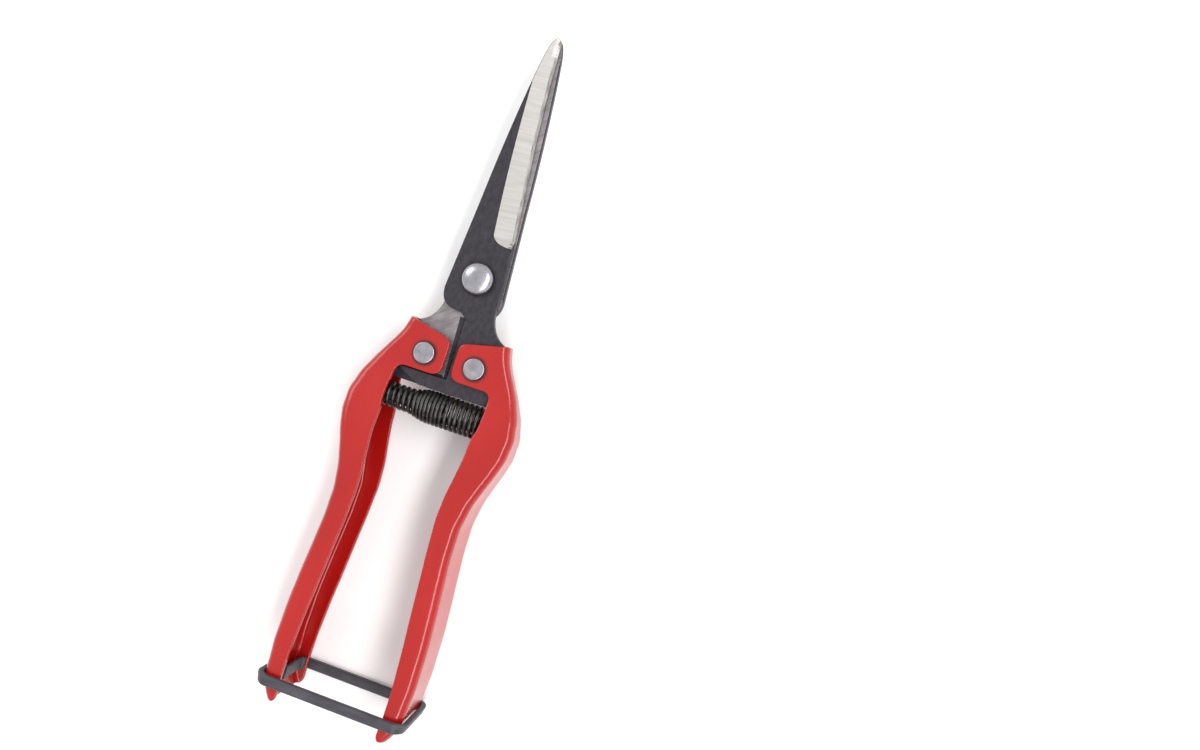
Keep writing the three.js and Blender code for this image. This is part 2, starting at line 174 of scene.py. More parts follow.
def inward(ring, distances):
    """The ring's points moved into the material by their own distances. Outer rings run
    anticlockwise and holes clockwise."""
    moved = []
    count = len(ring)
    for i, (x, y) in enumerate(ring):
        before = Vector((x - ring[i - 1][0], y - ring[i - 1][1])).normalized()
        after = Vector((ring[(i + 1) % count][0] - x, ring[(i + 1) % count][1] - y)).normalized()
        normal_a = Vector((-before.y, before.x))
        normal_b = Vector((-after.y, after.x))
        bisector = (normal_a + normal_b).normalized()
        stretch = 1 / max(bisector.dot(normal_a), 0.5)
        moved.append((x + bisector.x * distances[i] * stretch, y + bisector.y * distances[i] * stretch))
    return moved


def new_object(name, vertices, faces, materials, smooth_angle, face_materials=None, turned=False):
    """A mesh object from points in the tool's own frame, smooth where faces meet at less than
    smooth_angle degrees. turned flips it over onto the left half."""
    if turned:
        vertices = [(-x, y, -z) for x, y, z in vertices]
    mesh = bpy.data.meshes.new(name)
    mesh.from_pydata([row(v) for v in vertices], [], faces)
    for material in materials:
        mesh.materials.append(material)
    if face_materials:
        mesh.polygons.foreach_set("material_index", face_materials)
    mesh.validate()
    mesh.update()
    obj = bpy.data.objects.new(name, mesh)
    bpy.context.scene.collection.objects.link(obj)
    bpy.context.view_layer.objects.active = obj
    obj.select_set(True)
    bpy.ops.object.shade_smooth_by_angle(angle=math.radians(smooth_angle))
    obj.select_set(False)
    sharpen_borders(mesh)
    weighted = obj.modifiers.new("weighted_normals", "WEIGHTED_NORMAL")
    weighted.keep_sharp = True
    return obj


def sharpen_borders(mesh):
    """Makes the edges between two finishes of one mesh sharp."""
    if len(mesh.materials) < 2:
        return
    finishes = {}
    for polygon in mesh.polygons:
        for key in polygon.edge_keys:
            finishes.setdefault(key, set()).add(polygon.material_index)
    for edge in mesh.edges:
        if len(finishes[edge.key]) > 1:
            edge.use_edge_sharp = True


def put(obj, body, slot, *nodes):
    """Hangs a piece on its body and hides the CAD nodes that it stands for. The slot, its finish's name,
    is not used.
    """
    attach(obj, body)
    if nodes:
        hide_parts(*nodes)
    return obj


# ---- materials -------------------------------------------------------------------------------
class Finish:
    """A procedural material: a Principled shader with a few helpers to wire its nodes."""

    def __init__(self, name, color, roughness, metallic=0.0, specular=0.5):
        self.material = bpy.data.materials.new(name)
        self.material.use_nodes = True
        self.nodes = self.material.node_tree.nodes
        self.links = self.material.node_tree.links
        self.shader = self.nodes["Principled BSDF"]
        self.shader.inputs["Base Color"].default_value = (*color, 1)
        self.shader.inputs["Roughness"].default_value = roughness
        self.shader.inputs["Metallic"].default_value = metallic
        self.shader.inputs["Specular IOR Level"].default_value = specular
        coordinates = self.nodes.new("ShaderNodeTexCoord")
        self.position = coordinates.outputs["Object"]

    def stretched(self, scale, turn=0.0):
        """Object coordinates scaled by axis, in repeats per metre, after a turn about Z."""
        mapping = self.nodes.new("ShaderNodeMapping")
        mapping.vector_type = "TEXTURE"
        mapping.inputs["Rotation"].default_value = (0, 0, turn)
        mapping.inputs["Scale"].default_value = tuple(1 / s for s in scale)
        self.links.new(self.position, mapping.inputs["Vector"])
        return mapping.outputs["Vector"]

    def noise(self, vector, scale=1.0, detail=3.0, rough=0.5):
        node = self.nodes.new("ShaderNodeTexNoise")
        node.inputs["Scale"].default_value = scale
        node.inputs["Detail"].default_value = detail
        node.inputs["Roughness"].default_value = rough
        self.links.new(vector, node.inputs["Vector"])
        return node.outputs["Fac"]

    def ramp(self, value, stops):
        node = self.nodes.new("ShaderNodeValToRGB")
        elements = node.color_ramp.elements
        while len(elements) < len(stops):
            elements.new(0.5)
        for element, (place, color) in zip(elements, stops):
            element.position = place
            element.color = (*color, 1)
        self.links.new(value, node.inputs["Fac"])
        return node.outputs["Color"]

    def span(self, value, low, high, from_low=0.3, from_high=0.7):
        node = self.nodes.new("ShaderNodeMapRange")
        node.inputs["From Min"].default_value = from_low
        node.inputs["From Max"].default_value = from_high
        node.inputs["To Min"].default_value = low
        node.inputs["To Max"].default_value = high
        self.links.new(value, node.inputs["Value"])
        return node.outputs["Result"]

    def mix(self, factor, a, b):
        node = self.nodes.new("ShaderNodeMix")
        node.data_type = "RGBA"
        self.links.new(factor, node.inputs["Factor"])
        for value, socket in ((a, node.inputs["A"]), (b, node.inputs["B"])):
            if isinstance(value, tuple):
                socket.default_value = (*value, 1)
            else:
                self.links.new(value, socket)
        return node.outputs["Result"]

    def math(self, operation, a, b):
        node = self.nodes.new("ShaderNodeMath")
        node.operation = operation
        for value, socket in ((a, node.inputs[0]), (b, node.inputs[1])):
            if isinstance(value, float):
                socket.default_value = value
            else:
                self.links.new(value, socket)
        return node.outputs[0]

    def color(self, socket):
        self.links.new(socket, self.shader.inputs["Base Color"])

    def rough(self, socket):
        self.links.new(socket, self.shader.inputs["Roughness"])

    def bump(self, height, distance):
        node = self.nodes.new("ShaderNodeBump")
        node.inputs["Strength"].default_value = 1.0
        node.inputs["Distance"].default_value = distance
        self.links.new(height, node.inputs["Height"])
        self.links.new(node.outputs["Normal"], self.shader.inputs["Normal"])

    def weigh(self, a, share, b):
        """A share of a and the rest of b."""
        part = self.math("MULTIPLY", a, share)
        rest = self.math("MULTIPLY", b, 1.0 - share)
        return self.math("ADD", part, rest)

    def ring(self, x, y, inner, outer):
        """0 inside the inner radius and 1 outside the outer one, about (x, y) and (-x, y)."""
        split = self.nodes.new("ShaderNodeSeparateXYZ")
        self.links.new(self.position, split.inputs["Vector"])
        across = self.math("SUBTRACT", self.math("ABSOLUTE", split.outputs["X"], 0.0), x)
        upward = self.math("SUBTRACT", split.outputs["Y"], y)
        squares = self.math("ADD", self.math("POWER", across, 2.0), self.math("POWER", upward, 2.0))
        return self.span(self.math("SQRT", squares, 0.0), 0.0, 1.0, inner, outer)


def red_paint():
    """Gloss baked enamel: faint orange peel, slow unevenness and a painted contact shadow round the
    rivets.
    """
    finish = Finish("red_paint", (0.45, 0.01, 0.009), 0.2, 0.0, 0.4)
    finish.shader.inputs["Coat Weight"].default_value = 0.2
    finish.shader.inputs["Coat Roughness"].default_value = 0.12
    slow = finish.noise(finish.stretched((60, 25, 60)), detail=4)
    paint = finish.ramp(slow, [(0.3, (0.31, 0.005, 0.004)), (0.7, (0.385, 0.008, 0.006))])
    # painted shade: a dark red ring in the paint round each rivet head, for the contact shadow there
    painted_rivet_shade = finish.ring(RIVET_X * MM, RIVET_Y * MM + PIVOT.y * MM, 0.0032, 0.0039)
    finish.color(finish.mix(painted_rivet_shade, (0.09, 0.008, 0.008), paint))
    peel = finish.noise(finish.stretched((800, 800, 800)), detail=2)
    finish.rough(finish.span(slow, 0.16, 0.27))
    finish.bump(peel, 0.00003)
    return finish.material


def black_oxide():
    """Blackened steel: dark violet grey, faintly mottled, with fine lengthwise marks."""
    finish = Finish("black_oxide_steel", (0.045, 0.041, 0.05), 0.42, 0.5)
    mottle = finish.noise(finish.stretched((900, 500, 900)), detail=6, rough=0.65)
    finish.color(finish.ramp(mottle, [(0.32, (0.024, 0.0215, 0.027)), (0.7, (0.044, 0.041, 0.049))]))
    finish.rough(finish.span(mottle, 0.38, 0.5))
    grain = finish.noise(finish.stretched((2600, 500, 2600), math.radians(-6)), detail=2)
    finish.bump(grain, 0.00002)
    return finish.material


def ground_steel():
    """The ground bevel: bright satin, with fine marks across the blade."""
    finish = Finish("ground_steel", (0.78, 0.76, 0.73), 0.36, 0.4)
    fine = finish.noise(finish.stretched((120, 4200, 120), math.radians(7)), detail=3)
    broad = finish.noise(finish.stretched((60, 1100, 60), math.radians(7)), detail=3)
    both = finish.weigh(fine, 0.75, broad)
    finish.color(finish.ramp(both, [(0.3, (0.37, 0.355, 0.34)), (0.7, (0.47, 0.457, 0.44))]))
    finish.rough(finish.span(both, 0.3, 0.42))
    finish.bump(fine, 0.00001)
    return finish.material


def honed_steel():
    """The facet along the cutting edge: greyer, with marks along it."""
    finish = Finish("honed_steel", (0.36, 0.34, 0.33), 0.28, 0.8)
    marks = finish.noise(finish.stretched((2400, 260, 2400), math.radians(7)), detail=3)
    finish.color(finish.ramp(marks, [(0.3, (0.2, 0.185, 0.175)), (0.7, (0.46, 0.44, 0.42))]))
    finish.rough(finish.span(marks, 0.24, 0.38))
    finish.bump(marks, 0.00001)
    return finish.material


def brushed_steel():
    """The flat inner faces and spacers: satin grey steel, brushed on the slant, faintly violet."""
    finish = Finish("brushed_blade_steel", (0.4, 0.37, 0.38), 0.36, 0.75)
    brush = finish.noise(finish.stretched((4200, 260, 4200), math.radians(-48)), detail=3)
    cloud = finish.noise(finish.stretched((260, 260, 260)), detail=4)
    mixed = finish.weigh(brush, 0.55, cloud)
    finish.color(finish.ramp(mixed, [(0.32, (0.15, 0.133, 0.141)), (0.68, (0.38, 0.35, 0.362))]))
    finish.rough(finish.span(brush, 0.28, 0.44))
    finish.bump(brush, 0.00002)
    return finish.material


def bright_steel():
    """Rivets, bolt, washers and nut: zinc-bright steel with small handling marks."""
    finish = Finish("bright_steel", (0.42, 0.415, 0.44), 0.22, 0.92)
    cloud = finish.noise(finish.stretched((420, 420, 420)), detail=3)
    scratch = finish.noise(finish.stretched((4200, 500, 4200), math.radians(25)), detail=2)
    finish.color(finish.ramp(cloud, [(0.32, (0.29, 0.285, 0.315)), (0.68, (0.44, 0.43, 0.46))]))
    finish.rough(finish.span(scratch, 0.2, 0.34))
    finish.bump(scratch, 0.000012)
    return finish.material


def spring_steel():
    """Oil-blackened wire, glossier in patches."""
    finish = Finish("spring_steel", (0.06, 0.06, 0.06), 0.3, 0.85)
    cloud = finish.noise(finish.stretched((900, 900, 900)), detail=4)
    finish.color(finish.ramp(cloud, [(0.32, (0.03, 0.029, 0.028)), (0.7, (0.1, 0.097, 0.095))]))
    finish.rough(finish.span(cloud, 0.26, 0.4))
    finish.bump(cloud, 0.00002)
    return finish.material


def band_rubber():
    """Matt black rubber with a fine moulded grain and a little dust."""
    finish = Finish("band_rubber", (0.05, 0.05, 0.062), 0.5)
    grain = finish.noise(finish.stretched((2600, 2600, 2600)), detail=3)
    dust = finish.noise(finish.stretched((160, 420, 420)), detail=5)
    finish.color(finish.ramp(dust, [(0.32, (0.026, 0.025, 0.033)), (0.72, (0.062, 0.06, 0.074))]))
    finish.rough(finish.span(dust, 0.42, 0.62))
    finish.bump(grain, 0.00005)
    return finish.material


RED = red_paint()
OXIDE = black_oxide()
GROUND = ground_steel()
HONED = honed_steel()
BRUSHED = brushed_steel()
BRIGHT = bright_steel()
SPRING = spring_steel()
RUBBER = band_rubber()


# ---- rounded plates --------------------------------------------------------------------------
EDGE_STEPS = 3


def fill(rings, inner_points, lines):
    """Triangles inside the first ring, with the extra points and lines. A known fault: they also
    cover the other rings, which are holes. Returns the points, the triangles and, for each ring,
    its points' places in the list."""
    points = [Vector(p) for ring in rings for p in ring]
    edges = []
    starts = []
    count = 0
    for ring in rings:
        starts.append(count)
        edges += [(count + i, count + (i + 1) % len(ring)) for i in range(len(ring))]
        count += len(ring)
    for line in lines:
        start = len(points)
        points += [Vector(p) for p in line]
        edges += [(start + i, start + i + 1) for i in range(len(line) - 1)]
    points += [Vector(p) for p in inner_points]
    inside_only = 2
    out, _, triangles, origin, _, _ = delaunay_2d_cdt(points, edges, [], inside_only, 1e-6)
    place = {}
    for new, olds in enumerate(origin):
        for old in olds:
            place[old] = new
    ring_places = [[place[start + i] for i in range(len(ring))] for start, ring in zip(starts, rings)]
    return out, [list(t) for t in triangles], ring_places


def rounded_plate(outline, holes, thickness, surface, edge, inner_points=(), lines=()):
    """A plate with rounded edges over a flat domain. surface(u, v, depth) gives the point at a
    depth below the top face, thickness(u, v) the plate's thickness there, and edge the radius
    of its edges. Returns the vertices, the faces, and for each face its place and its side:
    +1 for the top face, -1 for the bottom face, 0 for the edges."""
    if signed_area(outline) < 0:
        outline = outline[::-1]
    rings = [outline] + [hole if signed_area(hole) < 0 else hole[::-1] for hole in holes]
    radii = [[min(edge, thickness(*p) * 0.3) for p in ring] for ring in rings]
    vertices = []
    faces = []
    tags = []

    def add_ring(ring, depths):
        start = len(vertices)
        vertices.extend(surface(u, v, depth) for (u, v), depth in zip(ring, depths))
        return start

    def cap(inset_rings, depth_of, side):
        points, triangles, places = fill(inset_rings, inner_points, lines)
        start = len(vertices)
        vertices.extend(surface(p.x, p.y, depth_of(p.x, p.y)) for p in points)
        for a, b, c in triangles:
            corners = (a, b, c) if side > 0 else (a, c, b)
            faces.append([start + k for k in corners])
            middle = (points[a] + points[b] + points[c]) / 3
            tags.append((side, middle.x, middle.y))
        return [[start + k for k in ring_places] for ring_places in places]

    def steps():
        """Insets and depths of the rounded edge, from the side wall to the face."""
        for k in range(EDGE_STEPS):
            angle = k / EDGE_STEPS * math.pi / 2
            yield 1 - math.cos(angle), 1 - math.sin(angle)

    chains = [[] for _ in rings]
    top_rings = [inward(ring, radius) for ring, radius in zip(rings, radii)]
    top_caps = cap(top_rings, lambda u, v: 0.0, 1)
    bottom_caps = cap(top_rings, lambda u, v: thickness(u, v), -1)
    for index, (ring, radius) in enumerate(zip(rings, radii)):
        chain = [top_caps[index]]
        for inset, drop in reversed(list(steps())):
            moved = inward(ring, [r * inset for r in radius])
            start = add_ring(moved, [r * drop for r in radius])
            chain.append(list(range(start, start + len(ring))))
        for inset, drop in steps():
            moved = inward(ring, [r * inset for r in radius])
            depths = [thickness(*p) - r * drop for p, r in zip(ring, radius)]
            start = add_ring(moved, depths)
            chain.append(list(range(start, start + len(ring))))
        chain.append(bottom_caps[index])
        chains[index] = chain
        for upper, lower in zip(chain, chain[1:]):
            for i in range(len(ring)):
                j = (i + 1) % len(ring)
                faces.append([upper[j], upper[i], lower[i], lower[j]])
                tags.append((0, *ring[i]))
    return vertices, faces, tags


# ---- blades ----------------------------------------------------------------------------------
EDGE_T = 0.35                   # what the grinding leaves at the cutting edge
BEVEL_LEFT = (0.2, 13.4)        # lower corner of the ground bevel, away from the cutting edge
BEVEL_RUN = 3.0                 # how far the bevel's round lower end reaches below that corner
BEVEL_LOW_Y = 11.0              # where that end meets the cutting edge, nearly
BEVEL_MEETS_SPINE = 58.5
HONE_WIDTH = 0.8                # the steeper facet along the cutting edge
HONE_CUT = 0.55
SPINE_MARGIN = 0.4              # dark border left on the inner face along the spine
# painted shade: the dark border beside the middle line stands in for the shadow in the slot between the
# tangs
SLOT_SHADE_EDGE = ((2.0, -11.0), (1.1, -28.4))  # and beside the middle line, from top to bottom
DARK_FOOT_Y = HEAD_BOTTOM + 0.5  # the inner face is dark from here down


def bezier(start, control, end, t):
    return (1 - t) ** 2 * start + 2 * t * (1 - t) * control + t * t * end


def cutting_edge_x(y):
    """The cutting edge of the front blade."""
    if y <= 1:
        return 7.4 - 0.2 * (y + 6.8) / 7.8
    if y <= 13:
        return 7.2 - 1.1 * (y - 1) / 12
    if y <= 39:
        return 6.1 - 3.0 * (y - 13) / 26
    return bezier(3.1, 1.75, 1.15, min((y - 39) / (POINT_Y - 39), 1))


def spine_x(y):
    """The spine of the front blade, up to where the point begins."""
    if y <= 21:
        return -8.2 + 1.9 * (y + 4.5) / 25.5
    return bezier(-6.3, -5.05, -2.4, (y - 21) / (SPINE_END_Y - 21))


def bevel_line_x(y):
    """Where the ground bevel meets the dark face of the front blade."""
    t = (y - BEVEL_LEFT[1]) / (BEVEL_MEETS_SPINE - BEVEL_LEFT[1])
    return BEVEL_LEFT[0] - 5.2 * t + 1.9 * t * t


def blade_outline():
    points = [(TANG_EDGE_X, -11.6)]
    points += line_points(points[-1], (-1.6, -9.9), 0.8)
    points += line_points(points[-1], (-4.4, -9.6), 0.8)
    points += curve_points(points[-1], (-8.0, -9.0), (-8.2, -4.5), 10)
    points += [(spine_x(y), y) for y in np.linspace(-3.5, SPINE_END_Y, 46)]
    points += curve_points(points[-1], (-1.6, TIP_Y), (0.0, TIP_Y), 10)
    points += curve_points(points[-1], (1.25, TIP_Y), (cutting_edge_x(POINT_Y), POINT_Y), 8)
    points += [(cutting_edge_x(y), y) for y in np.arange(POINT_Y - 1, -6.5, -1.0)]
    points += curve_points((7.4, -6.8), (7.9, -13.0), (TANG_X, -14.9), 10)
    points += line_points(points[-1], (TANG_X, -27.0), 2.0)
    points += line_points(points[-1], (FOOT_X, FOOT_TOP), 1.5)
    points += line_points(points[-1], (FOOT_X, TANG_END + 1), 1.5)
    points += curve_points(points[-1], (FOOT_X, TANG_END), (FOOT_X - 1, TANG_END), 4)
    points += line_points(points[-1], (-6.8, TANG_END), 2.0)
    points += line_points(points[-1], (FAR_FOOT_X, FOOT_TOP - 0.5), 1.5)
    points += [(FAR_FOOT_X, FOOT_TOP)]
    points += line_points(points[-1], (TANG_EDGE_X, FOOT_TOP), 2.0)
    points += line_points(points[-1], points[0], 1.5)
    return [(float(x), float(y)) for x, y in points[:-1]]


def run_out(x):
    """Height of the bevel's round lower end at a place across the blade."""
    left, top = BEVEL_LEFT
    across = min(max((x - left) / (cutting_edge_x(BEVEL_LOW_Y) - left), 0), 1)
    return top - BEVEL_RUN * math.sqrt(1 - (1 - across) ** 3)


def on_bevel(x, y):
    return y > run_out(x) and x > bevel_line_x(y)


def edge_distance(x, y):
    return cutting_edge_x(min(y, POINT_Y)) - x


def on_hone(x, y):
    return on_bevel(x, y) and edge_distance(x, y) < HONE_WIDTH


def bevel_cut(x, y):
    """How much the grinding has taken off the dark face."""
    if not on_bevel(x, y):
        return 0.0
    width = max(cutting_edge_x(min(y, POINT_Y)) - bevel_line_x(y), HONE_WIDTH + 0.5)
    from_edge = max(edge_distance(x, y), 0)
    main = min(1, (width - from_edge) / (width - HONE_WIDTH))
    hone = max(0, 1 - from_edge / HONE_WIDTH)
    full = (BLADE_T - EDGE_T - HONE_CUT) * main + HONE_CUT * hone
    return full * (0.3 + 0.7 * smoothstep(y - run_out(x), 0, 2.5))


def blade_lines():
    """Lines that the blade's faces are divided along: the bevel's border with its round lower
    end, the hone and the dark parts of the inner face, the one beside the middle line a painted shade."""
    left, top = BEVEL_LEFT
    low_edge = cutting_edge_x(BEVEL_LOW_Y) - 0.35
    border = [(x, run_out(x)) for x in np.linspace(low_edge, left + 0.6, 12)]
    border += [(left + d, run_out(left + d)) for d in (0.36, 0.18, 0.06)]
    border += [(bevel_line_x(y), y) for y in np.arange(top, BEVEL_MEETS_SPINE - 2, 1.2)]
    hone = [(cutting_edge_x(y) - HONE_WIDTH, y) for y in np.arange(12, TIP_Y - 5, 1.2)]
    margin = [(spine_x(y) + SPINE_MARGIN, y) for y in np.linspace(-3, 62, 50)]
    # painted shade: the border of the dark strip beside the middle line, for the shadowed slot
    tang = [SLOT_SHADE_EDGE[0]] + line_points(*SLOT_SHADE_EDGE, 1.5)
    foot = [(x, DARK_FOOT_Y) for x in np.linspace(TANG_EDGE_X + 1.2, TANG_X - 0.6, 8)]
    return [[(float(x), float(y)) for x, y in line] for line in (border, hone, margin, tang, foot)]


def bevel_points():
    """Points inside the bevel, in rows across it."""
    points = []
    for y in np.arange(10.8, TIP_Y - 1.5, 0.7):
        left = bevel_line_x(y)
        width = cutting_edge_x(min(y, POINT_Y)) - left - HONE_WIDTH
        for share in (0.1, 0.3, 0.5, 0.7, 0.9):
            x = left + share * width
            if on_bevel(x - 0.2, y - 0.2) and share * width > 0.35:
                points.append((float(x), float(y)))
    return points


def in_slot_shade(x, y):
    """Whether a place of the inner face lies in the painted shade beside the middle line, for the shadowed
    slot between the tangs.
    """
    (top_x, top_y), (low_x, low_y) = SLOT_SHADE_EDGE
    if not low_y < y < top_y:
        return False
    return x < top_x + (low_x - top_x) * (y - top_y) / (low_y - top_y)


def blade_finish(side, x, y):
    """Which finish a face of the blade has: dark, ground, inner or honed."""
    dark, ground, inner, honed = range(4)
    if side < 0:
        along_spine = y > -4 and x < spine_x(min(y, SPINE_END_Y)) + SPINE_MARGIN
        on_foot = y < DARK_FOOT_Y
        # the strip beside the middle line is painted shade of the slot between the tangs
        return dark if along_spine or on_foot or in_slot_shade(x, y) else inner
    if side == 0:
        return honed if x > 0 and y > 11.5 else dark
    if on_hone(x, y):
        return honed
    return ground if on_bevel(x, y) else dark


def make_blade(name, body, turned):
    """A flat plate with the grinding taken off its top face."""
    top = GAP / 2 + BLADE_T
    edge_radius = 0.16
    holes = [circle_points(0, 0, PIVOT_R + PIVOT_FIT, 40),
             circle_points(RIVET_X, RIVET_Y, HOLE_R, HOLE_POINTS)]
    vertices, faces, tags = rounded_plate(
        blade_outline(), holes,
        lambda u, v: BLADE_T - bevel_cut(u, v),
        lambda u, v, depth: (u, v, top - bevel_cut(u, v) - depth),
        edge_radius, bevel_points(), blade_lines())
    finishes = [blade_finish(*tag) for tag in tags]
    blade = new_object(name, vertices, faces, [OXIDE, GROUND, BRUSHED, HONED], 32, finishes, turned)
    slot = "brushed_blade_steel" if turned else "black_oxide_steel"
    return put(blade, body, slot, name.replace("_finished", ""))


# ---- handles ---------------------------------------------------------------------------------
QUARTER = BEND_R * math.pi / 2
WEB = 2 * (GRIP_HALF_DEPTH - BEND_R)
MIDDLE = QUARTER + WEB / 2


def flange_u(x, y):
    """Place across the sheet of a point of the front flange."""
    return x - (along(OUTER_EDGE, y) - BEND_R)


def sheet_point(u, y, depth):
    """A point of the folded sheet, depth below its outer surface. u runs across the sheet:
    front flange below 0, then the bend, the web, the other bend and the back flange."""
    side = 1
    if u > MIDDLE:
        u = 2 * MIDDLE - u
        side = -1
    bend_x = along(OUTER_EDGE, y) - BEND_R
    half = along(HALF_DEPTH, y)
    radius = BEND_R - depth
    if u <= 0:
        x, z = bend_x + u, half - depth
    elif u <= QUARTER:
        angle = u / BEND_R
        x = bend_x + radius * math.sin(angle)
        z = half - BEND_R + radius * math.cos(angle)
    else:
        share = (u - QUARTER) / (WEB / 2)
        x = bend_x + radius
        z = (half - BEND_R) * (1 - share)
    return x, y, side * z


def head_top(x):
    """Height of a head's slanted top edge."""
    return HEAD_TOP_IN + HEAD_TOP_RISE * (x - HEAD_EDGE_X)


def lip_points():
    """The front flange's inner outline in x and y, from the head's top corner to the end."""
    corner = 2.0
    points = [(HEAD_EDGE_X + corner, head_top(HEAD_EDGE_X + corner))]
    points += curve_points(points[-1], (HEAD_EDGE_X, HEAD_TOP_IN), (HEAD_EDGE_X, HEAD_TOP_IN - corner), 6)
    points += line_points(points[-1], (HEAD_EDGE_X, HEAD_BOTTOM + 3.2), 1.2)
    points += curve_points(points[-1], (HEAD_EDGE_X, HEAD_BOTTOM), (HEAD_EDGE_X + 3.2, HEAD_BOTTOM), 8)
    points += line_points(points[-1], (11.2, HEAD_BOTTOM), 1.2)
    points += curve_points(points[-1], (13.6, HEAD_BOTTOM), (13.6, HEAD_BOTTOM - 2.8), 8)
    points += [(along(INNER_LIP, y), float(y)) for y in np.arange(-32, -121.2, -1.2)]
    last = points[-1]
    points += curve_points(last, (last[0] - 0.1, END_Y), (last[0] + 1.6, END_Y), 7)
    return points


def top_points(start_u):
    """The sheet's slanted top edge, from the head's corner to the middle of the web."""
    points = []
    for u in np.linspace(start_u, MIDDLE, 30):
        y = HEAD_TOP_IN
        for _ in range(4):
            y = head_top(sheet_point(u, y, 0)[0])
        points.append((float(u), y))
    return points


def sheet_outline():
    """The flat sheet before it is folded."""
    front = [(flange_u(x, y), y) for x, y in lip_points()]
    back = [(2 * MIDDLE - u, y) for u, y in front]
    bottom = line_points(front[-1], back[-1], 0.8)
    half_top = top_points(front[0][0])
    top = [(2 * MIDDLE - u, y) for u, y in half_top[1:]] + half_top[-2:0:-1]
    return front + bottom[:-1] + back[::-1] + top


def inside(ring, x, y):
    """Whether a point lies within a ring."""
    found = False
    for (x0, y0), (x1, y1) in zip(ring, ring[1:] + ring[:1]):
        if (y0 > y) != (y1 > y) and x < x0 + (y - y0) * (x1 - x0) / (y1 - y0):
            found = not found
    return found


def make_handle(name, body, turned):
    """A folded sheet: a flat outline with a grid of points inside, wrapped by sheet_point."""
    outline = sheet_outline()
    edge_radius = 0.32
    hole = [(flange_u(x, y), y) for x, y in circle_points(RIVET_X, RIVET_Y, HOLE_R, HOLE_POINTS)]
    back_hole = [(2 * MIDDLE - u, y) for u, y in hole]
    hole_middles = [(sum(p[0] for p in ring) / HOLE_POINTS, RIVET_Y) for ring in (hole, back_hole)]
    bend_columns = [QUARTER * k / 8 for k in range(9)]
    web_columns = [QUARTER + WEB / 2 * k / 4 for k in range(1, 5)]
    flange_columns = [-k * 1.6 - 0.4 for k in range(12)]
    half_columns = flange_columns + bend_columns + web_columns
    columns = half_columns + [2 * MIDDLE - u for u in half_columns[:-1]]
    safe = inward(outline if signed_area(outline) > 0 else outline[::-1], [0.75] * len(outline))
    inner = []
    for y in np.arange(HEAD_TOP_IN + 2.4, END_Y + 0.9, -1.15):
        for u in columns:
            clear = all(math.dist((u, y), middle) > RIVET_R + 1.1 for middle in hole_middles)
            if clear and inside(safe, u, y):
                inner.append((u, float(y)))
    vertices, faces, _ = rounded_plate(
        outline, [hole, back_hole], lambda u, v: SHEET_T, sheet_point, edge_radius, inner)
    handle = new_object(name, vertices, faces, [RED], 50, turned=turned)
    return put(handle, body, "red_paint", name.replace("_finished", ""))


# ---- turned parts ----------------------------------------------------------------------------
def turned_part(name, profile, place, material, flip=False, segments=64):
    """A body turned about Z from a closed profile of (radius, z), in the tool's own frame. flip
    turns it over, for the left half."""
    vertices = []
    faces = []
    rings = []
    for radius, z in profile:
        if radius < 1e-6:
            rings.append([len(vertices)])
            vertices.append((0, 0, z))
        else:
            start = len(vertices)
            for i in range(segments):
                angle = 2 * math.pi * i / segments
                vertices.append((radius * math.cos(angle), radius * math.sin(angle), z))
            rings.append(list(range(start, start + segments)))
    pairs = list(zip(rings, rings[1:]))
    if profile[0][0] > 1e-6:
        pairs.append((rings[-1], rings[0]))
    for a, b in pairs:
        for i in range(segments):
            j = (i + 1) % segments
            corners = [a[i % len(a)], a[j % len(a)], b[j % len(b)], b[i % len(b)]]
            face = []
            for corner in corners:
                if corner not in face:
                    face.append(corner)
            faces.append(face)
    x, y, z = place
    sign = -1 if flip else 1
    vertices = [(vx * sign + x, vy + y, vz * sign + z) for vx, vy, vz in vertices]
    return new_object(name, vertices, faces, [material], 35)


def arc(center_r, center_z, radius, start, end, count):
    """Points of a circular arc in a profile, angles in degrees."""
    return [(center_r + radius * math.cos(math.radians(start + (end - start) * i / count)),
             center_z + radius * math.sin(math.radians(start + (end - start) * i / count)))
            for i in range(count + 1)]


def ring_profile(inner, outer, low, high, chamfer):
    """Profile of a flat ring whose outer edges are chamfered."""
    return [(inner, low), (outer - chamfer, low), (outer, low + chamfer),
            (outer, high - chamfer), (outer - chamfer, high), (inner, high)]


def make_pivot():
    """The bolt with its domed head in front, and its washer and nut at the back."""
    seat = GAP / 2 + BLADE_T + GAP
    washer_top = -seat
    washer_low = washer_top - WASHER_T
    nut_top = washer_low - GAP
    tail = nut_top - NUT_T - 0.6
    head_r, head_t, rim = 4.4, 2.3, 0.55
    dome_steps = 15
    profile = [(0, tail), (PIVOT_R - 0.4, tail), (PIVOT_R, tail + 0.4), (PIVOT_R, seat),
               (head_r - 0.12, seat)]
    profile += arc(head_r - 0.25, seat + 0.28, 0.25, -60, 20, 5)
    for i in range(1, dome_steps):
        angle = math.pi / 2 * i / dome_steps
        profile.append(((head_r - 0.06) * math.cos(angle) ** 0.85,
                        seat + rim + (head_t - rim) * math.sin(angle) ** 1.05))
    profile.append((0, seat + head_t))
    bolt = turned_part("pivot_bolt_finished", profile, (0, 0, 0), BRIGHT)
    put(bolt, "left_half", "bright_steel", "pivot_bolt")
    washer = ring_profile(PIVOT_R + GAP, WASHER_R, washer_low, washer_top, 0.15)
    put(turned_part("pivot_washer_finished", washer, (0, 0, 0), BRIGHT),
        "left_half", "bright_steel", "pivot_washer")
    make_nut(nut_top - NUT_T, nut_top)


